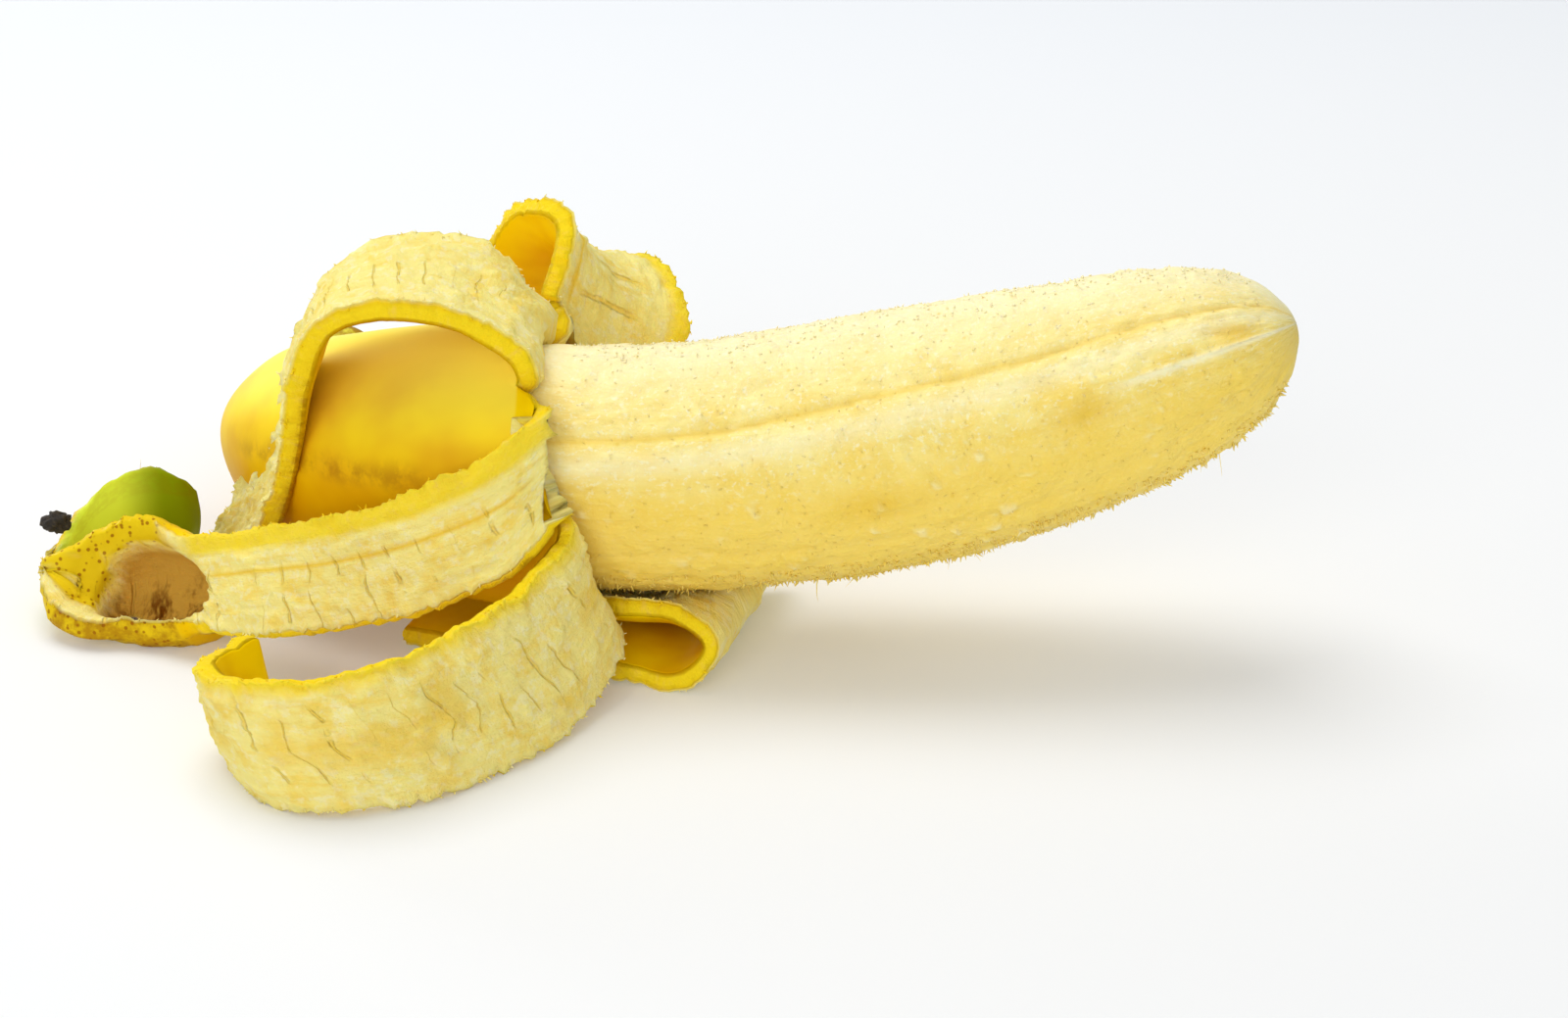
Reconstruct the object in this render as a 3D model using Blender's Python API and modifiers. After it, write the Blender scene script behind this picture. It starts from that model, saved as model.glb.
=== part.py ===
"""Half-peeled banana: bare flesh, the peel folded back in five strips, and the dried blossom remnant.

Metres, +Z up. +X runs from the unpeeled base to the bare tip of the flesh and +Y is the side the
stem end bends to. The finished fruit lies on z = 0 with its box centred over the origin.
"""
import math
import bpy
import numpy as np
from mathutils import Vector

NAME = "half_peeled_banana"

# Driving sizes, metres
FLESH_RADIUS = 0.0170
BARE_LENGTH = 0.0980
BURIED_LENGTH = 0.0480
PEEL_THICKNESS = 0.0030
FIT_GAP = 0.0003
BORE_END_GAP = 0.00595
# The buried flesh narrows away from its bore by these shares of the depth
BORE_SLACK_RATE = 0.038
BORE_LEAD_RATE = 0.12
NIB_RADIUS = 0.0016
NIB_LENGTH = 0.0045

# Reference sizes the shape tables below were laid out for
MM = 0.001
RING_RADIUS_REF = 19.3 * MM
RING_FLESH_FRACTION = 0.94
RIDGE_DEPTH = 0.018
RIDGE_COUNT = 5

# Fruit axis, millimetres from the middle of the ring where the strips start: stem end, then tip
STEM_AXIS = [(-36, 77, -14), (-39, 67, -14.5), (-41, 55, -13.5), (-39, 41, -11), (-33, 26, -7),
             (-20, 11, -2.5), (0, 0, 0)]
TIP_AXIS = [(13, -1.5, 0.2), (30, -1, 1.4), (50, -1, 5), (68, -1, 9.5), (84, -1, 15), (99, -1, 20.5)]

# Flesh: share of the way from the ring to the tip, share of the full radius
FLESH_PROFILE = [(0.0, 0.94), (0.18, 0.965), (0.32, 0.99), (0.45, 1.0), (0.58, 0.965), (0.7, 0.895),
                 (0.81, 0.80), (0.89, 0.675), (0.945, 0.51), (0.98, 0.31), (0.995, 0.15)]
# Flesh inside the base: share of the way from the ring to the closed end, share of the free bore
BURIED_PROFILE = [(0.0, 1.0), (0.5, 1.0), (0.78, 0.93), (0.92, 0.66), (0.985, 0.3)]

# Unpeeled base: millimetres back from the ring, outside radius as a share of the ring radius
BASE_PROFILE = [(0, 1.0), (9, 0.97), (18, 0.91), (30, 0.83), (43, 0.75), (54, 0.64), (63, 0.49),
                (71, 0.37), (79, 0.32), (88, 0.31), (95, 0.34)]

# Strips: start and end angle on the ring in degrees (0 top, 90 front), columns, then ribs.
# A rib is the two edge points of the skin in millimetres from the ring and the bulge between them.
STRIPS = {
    "arch": (-33, 37, 8, [
        ((-5.5, 8.5, 19.5), (-4.5, -12, 18), 2.5),
        ((-9.5, 9.5, 24.5), (-10.5, -11, 21.8), 1.5),
        ((-19, 11, 25.5), (-20, -9, 22.8), 1.0),
        ((-26.5, 12, 22), (-27, -7, 20.5), 0.5),
        ((-32, 14, 12.5), (-31, -4, 12), 0.5),
        ((-37, 16, -1), (-33.5, 0, 1), 0.5),
        ((-43, 20, -13), (-37, 5, -10), 0.5),
        ((-47, 25, -20.5), (-42, 9, -20.5), 0.5),
    ]),
    "middle": (37, 84, 6, [
        ((-1.5, -15, 13), (1.3, -22.5, 0.5), 1.5),
        ((-6, -18, 8.5), (-2, -25, -4), 0.8),
        ((-14, -18, 3), (-10, -25.5, -8), 0.0),
        ((-25, -13, -2.4), (-21, -22.5, -13), 0.0),
        ((-35, -6, -7.5), (-33, -16.5, -17), 0.0),
        ((-45, 1, -11.2), (-43, -9, -20.4), 0.5),
        ((-52, 7, -11.5), (-50, -6, -22), 3.0),
        ((-58, 9.0, -11), (-57, -5, -23), 5.0),
        ((-63.5, 9, -13.3), (-64, -4, -23), 5.5),
        ((-67, 8, -16), (-68, -1, -22), 3.0),
        ((-67.5, 12.5, -16.5), (-68, 11.5, -20), 0.8),
        ((-65.5, 17, -13.5), (-65, 17, -20), 0.8),
        ((-62, 18.5, -9.8), (-61, 18, -21), 1.2),
        ((-57.5, 19, -8.2), (-57, 18.5, -21), 1.5),
        ((-53.5, 20, -9.5), (-53.5, 20, -21), 1.0),
        ((-51.5, 24, -13), (-51.5, 24, -20), 0.5),
    ]),
    "front": (84, 149, 8, [
        ((1.5, -21, 0), (7, -15, -18), 2.0),
        ((-3, -29, -4.5), (4, -26, -23), 0.5),
        ((-12, -41, -7), (-6, -41, -24), 0.0),
        ((-22, -49, -8), (-17, -50, -24), 0.0),
        ((-31, -49, -9), (-26, -52, -24), 0.0),
        ((-38, -43, -10.5), (-33, -47, -24), 0.0),
        ((-40, -34, -12.5), (-36, -37, -24), 0.0),
        ((-36.5, -25, -14), (-34, -27, -24), 0.0),
    ]),
    "under": (149, 237, 9, [
        ((8, -12.7, -16.2), (10, 15, -12.6), 6.0),
        ((16, -15, -16.2), (22, 16, -13), 5.4),
        ((19.5, -17, -19), (28, 16, -18.5), 1.0),
        ((17, -18, -21.5), (24, 14, -21.5), 0.0),
        ((8, -15, -21.6), (14, 13, -21.6), 0.0),
        ((-3, -11, -21.6), (3, 13, -21.6), 0.0),
        ((-20, -4, -21.6), (-16, 11, -21.6), 0.0),
    ]),
    "rear": (237, 327, 9, [
        ((12, 23, 0), (-2.5, 13.5, 17.5), 4.0),
        ((15, 31, 10.5), (-0.5, 19.5, 26.5), 3.5),
        ((11, 39, 13.5), (-5, 25.5, 26.3), 3.0),
        ((5, 46, 7), (-10, 33, 19), 1.5),
        ((0, 50, -2), (-13, 38, 10), 1.0),
        ((-4, 51, -12), (-16, 41, -2), 0.5),
        ((-6, 51, -21), (-18, 43, -14), 0.5),
    ]),
}
ROW_STEP = 4.0
# The tear reaches further back on the top rear side of the ring
TEAR_BACK = 4.0
TEAR_ANGLE = -33
FLOOR_BELOW_RING = 24.6
NIB_LEAN = (-1.0, -0.4, 0.0)
NIB_PROFILE = [(0.0, 0.7), (0.25, 0.95), (0.5, 0.6), (0.75, 0.75), (1.0, 0.35)]
NIB_SIDES = 16
# A strip leaves the round of the base over this length, millimetres
FADE_LENGTH = 14.0
# A strip starts along the base's own slope, read this far behind the ring, millimetres
SLOPE_BACK = 8.0
# Half of the length over which a slope is read, metres
SLOPE_SPAN = 0.0005
LINED_ROWS = 14
SOLID_ROWS = 9
FLESH_COLUMNS = 40
BURIED_SHARES = (0.985, 0.92, 0.82, 0.68, 0.54, 0.4, 0.26, 0.13)
BARE_ROWS = 17
TAPER_SHARE = 0.81
TIP_SHARES = (0.85, 0.89, 0.92, 0.945, 0.965, 0.98, 0.995)


def clear_scene():
    """Remove every object that is already there."""
    for item in list(bpy.data.objects):
        bpy.data.objects.remove(item, do_unlink=True)


def unit(vector):
    """Vector scaled to length one."""
    vector = np.asarray(vector, float)
    return vector / np.linalg.norm(vector)


def smooth_curve(knots, values, where):
    """Cubic curve through the values at the knots, read at the given places."""
    knots = np.asarray(knots, float)
    values = np.asarray(values, float)
    where = np.clip(np.asarray(where, float), knots[0], knots[-1])
    slopes = np.zeros_like(values)
    steps = np.diff(knots)
    rises = np.diff(values, axis=0) / steps.reshape([-1] + [1] * (values.ndim - 1))
    slopes[0] = rises[0]
    slopes[-1] = rises[-1]
    for k in range(1, len(knots) - 1):
        before, after = steps[k - 1], steps[k]
        slopes[k] = (after * rises[k - 1] + before * rises[k]) / (before + after)
    cell = np.clip(np.searchsorted(knots, where, side="right") - 1, 0, len(knots) - 2)
    span = steps[cell]
    t = (where - knots[cell]) / span
    shape = [-1] + [1] * (values.ndim - 1)
    t = t.reshape(shape)
    span = span.reshape(shape)
    start, end = values[cell], values[cell + 1]
    return ((2 * t**3 - 3 * t**2 + 1) * start + (t**3 - 2 * t**2 + t) * span * slopes[cell]
            + (3 * t**2 - 2 * t**3) * end + (t**3 - t**2) * span * slopes[cell + 1])


class Fruit:
    """Sizes and curves shared by the flesh and the peel."""

    def __init__(self):
        self.ring_radius = FLESH_RADIUS * RING_FLESH_FRACTION + FIT_GAP + PEEL_THICKNESS
        self.across = self.ring_radius / RING_RADIUS_REF * MM
        self.cavity = BURIED_LENGTH + BORE_END_GAP
        self.along = BARE_LENGTH / 0.101 * MM
        points = [np.array(p, float) * self.across for p in STEM_AXIS]
        points += [np.array([p[0] * self.along, p[1] * self.across, p[2] * self.along]) for p in TIP_AXIS]
        points = np.array(points)
        lengths = np.concatenate([[0.0], np.cumsum(np.linalg.norm(np.diff(points, axis=0), axis=1))])
        self.knots = lengths - lengths[len(STEM_AXIS) - 1]
        self.points = points
        self.tip = self.knots[-1]
        self.stem = self.knots[0]

    def frame(self, distance):
        """Point, direction, upward and frontward unit vectors on the axis, distance from the ring."""
        pair = smooth_curve(self.knots, self.points, [distance - SLOPE_SPAN, distance + SLOPE_SPAN])
        point = smooth_curve(self.knots, self.points, [distance])[0]
        direction = unit(pair[1] - pair[0])
        upward = unit(np.array([0, 0, 1.0]) - direction[2] * direction)
        return point, direction, upward, np.cross(direction, upward)

    def base_radius(self, distance):
        """Outside radius of the unpeeled base, distance measured back from the ring."""
        table = np.array(BASE_PROFILE, float)
        return smooth_curve(table[:, 0] * self.across, table[:, 1], [distance])[0] * self.ring_radius


def ridged(radius, angle):
    """Radius of the softly five-sided skin at an angle in radians."""
    return radius * (1 + RIDGE_DEPTH * (math.cos(RIDGE_COUNT * angle) - 1))


def ring_angles():
    """Angles of the columns around the ring, in radians, in strip order."""
    angles = []
    for start, end, columns, _ in STRIPS.values():
        angles += [math.radians(start + (end - start) * k / columns) for k in range(columns)]
    return angles


def torn_back(fruit, angle):
    """How far behind the ring the strips start at an angle in radians."""
    return TEAR_BACK * fruit.across * max(0.0, math.cos(angle - math.radians(TEAR_ANGLE))) ** 2


def skin_row(fruit, depth, angles):
    """Skin points of the unpeeled base at a depth behind the torn edge."""
    points = []
    share = max(0.0, 1 - depth / fruit.cavity) ** 2
    for angle in angles:
        back = depth + torn_back(fruit, angle) * share
        radius = ridged(fruit.base_radius(back), angle)
        points += tube_row(fruit, -back, [angle], [radius])
    return points


def tube_row(fruit, distance, angles, radii):
    """Points around the axis at one distance from the ring."""
    point, _, upward, frontward = fruit.frame(distance)
    return [point + radius * (math.cos(a) * upward + math.sin(a) * frontward)
            for a, radius in zip(angles, radii)]


def section(half_width, bulge, half_angle, share):
    """Offset across and outward on a shallow arc, share from -1 to 1 across the strip."""
    across = half_width * math.sin(half_angle * share) / math.sin(half_angle)
    outward = bulge * (math.cos(half_angle * share) - math.cos(half_angle)) / (1 - math.cos(half_angle))
    return across, outward


def strip_rows(fruit, start, end, columns, ribs, row_step):
    """Rows of skin points of one strip, the first row being the ring itself."""
    half_angle = math.radians(end - start) / 2
    angles = [math.radians(start + (end - start) * k / columns) for k in range(columns + 1)]
    edges = [math.radians(start), math.radians(end)]
    first, second, bulges = [], [], []
    for back in (SLOPE_BACK, 0.0):
        radius = fruit.base_radius(back * fruit.across)
        row = skin_row(fruit, back * fruit.across, edges)
        first.append(row[0])
        second.append(row[1])
        bulges.append(radius * (1 - math.cos(half_angle)))
    for one, two, bulge in ribs:
        first.append(np.array(one, float) * fruit.across)
        second.append(np.array(two, float) * fruit.across)
        bulges.append(bulge * fruit.across)
    first, second, bulges = np.array(first), np.array(second), np.array(bulges)
    middles = (first + second) / 2
    steps = np.linalg.norm(np.diff(middles, axis=0), axis=1)
    knots = np.concatenate([[0.0], np.cumsum(steps)]) - steps[0]
    count = max(2, int(round(knots[-1] / (row_step * fruit.across))))
    where = np.linspace(0.0, knots[-1], count + 1)
    a = smooth_curve(knots, first, where)
    b = smooth_curve(knots, second, where)
    lift = smooth_curve(knots, bulges, where)
    ahead = smooth_curve(knots, middles, where + SLOPE_SPAN)
    behind = smooth_curve(knots, middles, where - SLOPE_SPAN)
    exact = skin_row(fruit, 0.0, angles)
    rows = []
    for k in range(count + 1):
        chord = b[k] - a[k]
        width = np.linalg.norm(chord)
        side = chord / width
        outward = unit(np.cross(chord, ahead[k] - behind[k]))
        middle = (a[k] + b[k]) / 2
        row = []
        for j in range(columns + 1):
            across, out = section(width / 2, lift[k], half_angle, 2.0 * j / columns - 1)
            row.append(middle + across * side + out * outward)
        rows.append(row)
    gaps = [exact[j] - rows[0][j] for j in range(columns + 1)]
    for k in range(count + 1):
        fade = max(0.0, 1 - where[k] / (FADE_LENGTH * fruit.across))
        rows[k] = [point + fade * fade * (3 - 2 * fade) * gap for point, gap in zip(rows[k], gaps)]
    return rows


def outer_normals(points, quads):
    """Area-weighted normals of the skin surface, one per point."""
    points = np.array(points)
    normals = np.zeros_like(points)
    for quad in quads:
        corners = points[list(quad)]
        normal = np.cross(corners[2] - corners[0], corners[-1] - corners[1])
        for index in quad:
            normals[index] += normal
    return normals / np.linalg.norm(normals, axis=1)[:, None]


def peel_solid(fruit):
    """Vertices and faces of the peel: base, stem end and the five folded-back strips."""
    angles = ring_angles()
    total = len(angles)
    lined = np.linspace(0, fruit.cavity, LINED_ROWS)
    solid = np.linspace(fruit.cavity, -fruit.stem, SOLID_ROWS)
    depths = np.concatenate([lined, solid[1:]])
    points, quads = [], []
    for depth in depths:
        points += skin_row(fruit, depth, angles)
    rows_of_base = len(depths)
    for r in range(rows_of_base - 1):
        for c in range(total):
            n = (c + 1) % total
            quads.append((r * total + c, (r + 1) * total + c, (r + 1) * total + n, r * total + n))
    strips = []
    first_column = 0
    for start, end, columns, ribs in STRIPS.values():
        rows = strip_rows(fruit, start, end, columns, ribs, ROW_STEP)
        grid = [[(first_column + j) % total for j in range(columns + 1)]]
        for k, row in enumerate(rows[1:]):
            grid.append(list(range(len(points), len(points) + columns + 1)))
            points += row
            for j in range(columns):
                quads.append((grid[k][j], grid[k][j + 1], grid[k + 1][j + 1], grid[k + 1][j]))
        strips.append(grid)
        first_column += columns
    normals = outer_normals(points, quads)
    _, _, upward, frontward = fruit.frame(0.0)
    for grid in strips:
        notch = angles[grid[0][0]]
        normals[grid[0][0]] = math.cos(notch) * upward + math.sin(notch) * frontward
    return points, quads, normals, strips, total, rows_of_base


def build_peel(fruit):
    """Close the skin surface with an inner wall, the cut stem end and the torn edges."""
    points, quads, normals, strips, total, base_rows = peel_solid(fruit)
    outer_count = len(points)
    inner = {}
    vertices = [np.array(p) for p in points]
    for index in range(outer_count):
        row = index // total
        if LINED_ROWS <= row < base_rows:
            continue
        inner[index] = len(vertices)
        vertices.append(points[index] - PEEL_THICKNESS * normals[index])
    faces = list(quads)
    for quad in quads:
        if all(i in inner for i in quad):
            faces.append(tuple(inner[i] for i in reversed(quad)))
    closed = LINED_ROWS - 1
    centre = fruit.frame(-fruit.cavity)[0]
    vertices.append(centre)
    hub = len(vertices) - 1
    for c in range(total):
        n = (c + 1) % total
        faces.append((inner[closed * total + c], inner[closed * total + n], hub))
    stem_centre, direction, _, _ = fruit.frame(fruit.stem)
    vertices.append(stem_centre)
    end = len(vertices) - 1
    last = (base_rows - 1) * total
    for c in range(total):
        faces.append((last + c, end, last + (c + 1) % total))
    for grid in strips:
        for k in range(len(grid) - 1):
            near, far = grid[k][0], grid[k + 1][0]
            faces.append((near, far, inner[far], inner[near]))
            near, far = grid[k][-1], grid[k + 1][-1]
            faces.append((far, near, inner[near], inner[far]))
        edge = grid[-1]
        for j in range(len(edge) - 1):
            faces.append((edge[j], edge[j + 1], inner[edge[j + 1]], inner[edge[j]]))
    floor = -FLOOR_BELOW_RING * fruit.across
    for vertex in vertices:
        vertex[2] = max(vertex[2], floor)
    return vertices, faces


def build_flesh(fruit):
    """Vertices and faces of the flesh, a curved body with a blunt rear end and a rounded tip."""
    around = FLESH_COLUMNS
    angles = [2 * math.pi * k / around for k in range(around)]
    rows = []
    buried = np.array(BURIED_PROFILE)
    for share in BURIED_SHARES:
        distance = share * BURIED_LENGTH
        bore = fruit.base_radius(distance * (1 + BORE_LEAD_RATE)) - PEEL_THICKNESS - FIT_GAP
        bore -= BORE_SLACK_RATE * distance
        factor = smooth_curve(buried[:, 0], buried[:, 1], [share])[0]
        rows.append((-distance, bore * factor))
    bare = np.array(FLESH_PROFILE)
    for share in [*np.linspace(0, TAPER_SHARE, BARE_ROWS), *TIP_SHARES]:
        rows.append((share * fruit.tip, smooth_curve(bare[:, 0], bare[:, 1], [share])[0] * FLESH_RADIUS))
    vertices, faces = [], []
    for distance, radius in rows:
        vertices += tube_row(fruit, distance, angles, [ridged(radius, a) for a in angles])
    for r in range(len(rows) - 1):
        for c in range(around):
            n = (c + 1) % around
            faces.append((r * around + c, r * around + n, (r + 1) * around + n, (r + 1) * around + c))
    vertices.append(fruit.frame(-BURIED_LENGTH)[0])
    vertices.append(fruit.frame(fruit.tip)[0])
    rear, front = len(vertices) - 2, len(vertices) - 1
    last = (len(rows) - 1) * around
    for c in range(around):
        n = (c + 1) % around
        faces.append((c, rear, n))
        faces.append((last + c, last + n, front))
    return vertices, faces


def nib_place(peel_points, strips):
    """Foot point and lean of the blossom remnant, on the upper edge of the narrow curl beside the tip cup."""
    grid = strips[list(STRIPS).index("middle")]
    spans = [np.linalg.norm(peel_points[row[0]] - peel_points[row[-1]]) for row in grid]
    narrow = int(np.argmin(spans[:-2]))
    top, bottom = np.array(peel_points[grid[narrow][0]]), np.array(peel_points[grid[narrow][-1]])
    upward = unit(top - bottom)
    foot = top + upward * (FIT_GAP + NIB_RADIUS)
    return foot, unit(upward + np.array(NIB_LEAN))


def nib_reach(foot, lean):
    """Lowest x that the turned blossom remnant reaches."""
    slant = math.sqrt(1 - lean[0] ** 2)
    return min(foot[0] + lean[0] * share * NIB_LENGTH - slant * size * NIB_RADIUS for share, size in NIB_PROFILE)


def add_nib(name, foot, lean, collection, colour, roughness):
    """Blossom remnant: a profile turned round its own axis, standing on the foot point along the lean."""
    profile = [(0.0, 0.0)]
    profile += [(size * NIB_RADIUS, share * NIB_LENGTH) for share, size in NIB_PROFILE]
    profile.append((0.0, NIB_LENGTH))
    vertices = [(radius, 0.0, height) for radius, height in profile]
    edges = [(k, k + 1) for k in range(len(profile) - 1)]
    mesh = bpy.data.meshes.new(name)
    mesh.from_pydata(vertices, edges, [])
    item = bpy.data.objects.new(name, mesh)
    collection.objects.link(item)
    screw = item.modifiers.new("turned", "SCREW")
    screw.axis = "Z"
    screw.angle = 2 * math.pi
    screw.steps = NIB_SIDES
    screw.render_steps = NIB_SIDES
    screw.use_merge_vertices = True
    screw.merge_threshold = 0.00001
    screw.use_normal_calculate = True
    screw.use_smooth_shade = True
    item.rotation_euler = Vector(lean).to_track_quat("Z", "Y").to_euler()
    item.location = foot
    mesh.materials.append(plain_material(name, colour, roughness))
    return item


def plain_material(name, colour, roughness):
    """Principled material of one colour."""
    material = bpy.data.materials.new(name)
    material.use_nodes = True
    shader = material.node_tree.nodes["Principled BSDF"]
    shader.inputs["Base Color"].default_value = (*colour, 1.0)
    shader.inputs["Roughness"].default_value = roughness
    shader.inputs["Metallic"].default_value = 0.0
    return material


def add_object(name, vertices, faces, collection, colour, roughness):
    """Mesh object with its own material."""
    mesh = bpy.data.meshes.new(name)
    mesh.from_pydata([tuple(v) for v in vertices], [], faces)
    mesh.validate()
    item = bpy.data.objects.new(name, mesh)
    collection.objects.link(item)
    mesh.materials.append(plain_material(name, colour, roughness))
    for polygon in mesh.polygons:
        polygon.use_smooth = True
    return item


def main():
    """Build every node of the fruit."""
    clear_scene()
    collection = bpy.data.collections.new(NAME)
    bpy.context.scene.collection.children.link(collection)
    fruit = Fruit()
    flesh = build_flesh(fruit)
    peel = build_peel(fruit)
    skin = peel_solid(fruit)
    foot, lean = nib_place(skin[0], skin[3])
    everything = np.array([*flesh[0], *peel[0]])
    low, high = everything.min(axis=0), everything.max(axis=0)
    low[0] = min(low[0], nib_reach(foot, lean))
    shift = -np.array([(low[0] + high[0]) / 2, (low[1] + high[1]) / 2, low[2]])
    add_object("flesh", np.array(flesh[0]) + shift, flesh[1], collection, (0.83, 0.72, 0.38), 0.55)
    add_object("peel", np.array(peel[0]) + shift, peel[1], collection, (0.86, 0.58, 0.05), 0.5)
    add_nib("blossom_nib", foot + shift, lean, collection, (0.02, 0.016, 0.014), 0.8)


main()
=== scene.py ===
"""Looks of the half-peeled banana: fine flesh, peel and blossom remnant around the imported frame."""
import math

import bpy
import numpy as np
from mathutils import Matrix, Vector


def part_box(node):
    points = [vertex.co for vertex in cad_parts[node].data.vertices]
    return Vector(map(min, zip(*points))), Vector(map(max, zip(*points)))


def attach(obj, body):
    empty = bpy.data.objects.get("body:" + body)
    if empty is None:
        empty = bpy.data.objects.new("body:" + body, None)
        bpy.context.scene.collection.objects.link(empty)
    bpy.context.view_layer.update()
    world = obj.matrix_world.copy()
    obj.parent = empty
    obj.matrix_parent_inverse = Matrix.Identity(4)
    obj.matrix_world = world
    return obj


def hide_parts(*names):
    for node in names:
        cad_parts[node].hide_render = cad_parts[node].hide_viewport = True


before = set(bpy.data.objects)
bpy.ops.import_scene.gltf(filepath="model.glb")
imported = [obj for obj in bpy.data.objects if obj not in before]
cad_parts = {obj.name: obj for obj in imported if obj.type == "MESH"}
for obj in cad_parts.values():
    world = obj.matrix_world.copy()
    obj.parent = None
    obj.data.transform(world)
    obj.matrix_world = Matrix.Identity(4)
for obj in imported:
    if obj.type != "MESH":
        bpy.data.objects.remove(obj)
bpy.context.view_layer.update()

MM = 0.001

# Driving sizes of the fruit, metres
FLESH_RADIUS = 0.0170
BARE_LENGTH = 0.0980
BURIED_LENGTH = 0.0480
PEEL_THICKNESS = 0.0030
FIT_GAP = 0.0003
BORE_END_GAP = 0.00595
BORE_SLACK_RATE = 0.038
BORE_LEAD_RATE = 0.12

RING_RADIUS_REF = 19.3 * MM
RING_FLESH_FRACTION = 0.94
RIDGE_DEPTH = 0.018
RIDGE_COUNT = 5
FADE_LENGTH = 14.0
TEAR_BACK = 4.0
TEAR_ANGLE = -33
FLOOR_BELOW_RING = 24.6
# A strip starts along the base's own slope, read this far behind the ring, millimetres
SLOPE_BACK = 8.0
# Half of the length over which a slope is read, metres
SLOPE_SPAN = 0.0005
# Length of bare flesh that the tables below were laid out for
BARE_LENGTH_REF = 101.0 * MM

# Fruit axis, millimetres from the middle of the ring where the strips start: stem end, then tip
STEM_AXIS = [(-36, 77, -14), (-39, 67, -14.5), (-41, 55, -13.5), (-39, 41, -11), (-33, 26, -7),
             (-20, 11, -2.5), (0, 0, 0)]
TIP_AXIS = [(13, -1.5, 0.2), (30, -1, 1.4), (50, -1, 5), (68, -1, 9.5), (84, -1, 15), (99, -1, 20.5)]

# Shares of the way along the flesh and of its full radius
FLESH_PROFILE = [(0.0, 0.94), (0.18, 0.965), (0.32, 0.99), (0.45, 1.0), (0.58, 0.965), (0.7, 0.895),
                 (0.81, 0.80), (0.89, 0.675), (0.945, 0.51), (0.98, 0.31), (0.995, 0.15)]
BURIED_PROFILE = [(0.0, 1.0), (0.5, 1.0), (0.78, 0.93), (0.92, 0.66), (0.985, 0.3)]
# Unpeeled base: millimetres back from the ring, outside radius as a share of the ring radius
BASE_PROFILE = [(0, 1.0), (9, 0.97), (18, 0.91), (30, 0.83), (43, 0.75), (54, 0.64), (63, 0.49),
                (71, 0.37), (79, 0.32), (88, 0.31), (95, 0.34)]

# Strips: start and end angle on the ring in degrees (0 top, 90 front), then ribs.
# A rib is the two edge points of the skin in millimetres from the ring and the bulge between them.
STRIPS = {
    "arch": (-33, 37, [
        ((-5.5, 8.5, 19.5), (-4.5, -12, 18), 2.5), ((-9.5, 9.5, 24.5), (-10.5, -11, 21.8), 1.5),
        ((-19, 11, 25.5), (-20, -9, 22.8), 1.0), ((-26.5, 12, 22), (-27, -7, 20.5), 0.5),
        ((-32, 14, 12.5), (-31, -4, 12), 0.5), ((-37, 16, -1), (-33.5, 0, 1), 0.5),
        ((-43, 20, -13), (-37, 5, -10), 0.5), ((-47, 25, -20.5), (-42, 9, -20.5), 0.5),
    ]),
    "middle": (37, 84, [
        ((-1.5, -15, 13), (1.3, -22.5, 0.5), 1.5), ((-6, -18, 8.5), (-2, -25, -4), 0.8),
        ((-14, -18, 3), (-10, -25.5, -8), 0.0), ((-25, -13, -2.4), (-21, -22.5, -13), 0.0),
        ((-35, -6, -7.5), (-33, -16.5, -17), 0.0), ((-45, 1, -11.2), (-43, -9, -20.4), 0.5),
        ((-52, 7, -11.5), (-50, -6, -22), 3.0), ((-58, 9.0, -11), (-57, -5, -23), 5.0),
        ((-63.5, 9, -13.3), (-64, -4, -23), 5.5), ((-67, 8, -16), (-68, -1, -22), 3.0),
        ((-67.5, 12.5, -16.5), (-68, 11.5, -20), 0.8), ((-65.5, 17, -13.5), (-65, 17, -20), 0.8),
        ((-62, 18.5, -9.8), (-61, 18, -21), 1.2), ((-57.5, 19, -8.2), (-57, 18.5, -21), 1.5),
        ((-53.5, 20, -9.5), (-53.5, 20, -21), 1.0), ((-51.5, 24, -13), (-51.5, 24, -20), 0.5),
    ]),
    "front": (84, 149, [
        ((1.5, -21, 0), (7, -15, -18), 2.0), ((-3, -29, -4.5), (4, -26, -23), 0.5),
        ((-12, -41, -7), (-6, -41, -24), 0.0), ((-22, -49, -8), (-17, -50, -24), 0.0),
        ((-31, -49, -9), (-26, -52, -24), 0.0), ((-38, -43, -10.5), (-33, -47, -24), 0.0),
        ((-40, -34, -12.5), (-36, -37, -24), 0.0), ((-36.5, -25, -14), (-34, -27, -24), 0.0),
    ]),
    "under": (149, 237, [
        ((8, -12.7, -16.2), (10, 15, -12.6), 6.0), ((16, -15, -16.2), (22, 16, -13), 5.4),
        ((19.5, -17, -19), (28, 16, -18.5), 1.0), ((17, -18, -21.5), (24, 14, -21.5), 0.0),
        ((8, -15, -21.6), (14, 13, -21.6), 0.0), ((-3, -11, -21.6), (3, 13, -21.6), 0.0),
        ((-20, -4, -21.6), (-16, 11, -21.6), 0.0),
    ]),
    "rear": (237, 327, [
        ((12, 23, 0), (-2.5, 13.5, 17.5), 4.0), ((15, 31, 10.5), (-0.5, 19.5, 26.5), 3.5),
        ((11, 39, 13.5), (-5, 25.5, 26.3), 3.0), ((5, 46, 7), (-10, 33, 19), 1.5),
        ((0, 50, -2), (-13, 38, 10), 1.0), ((-4, 51, -12), (-16, 41, -2), 0.5),
        ((-6, 51, -21), (-18, 43, -14), 0.5),
    ]),
}

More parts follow.
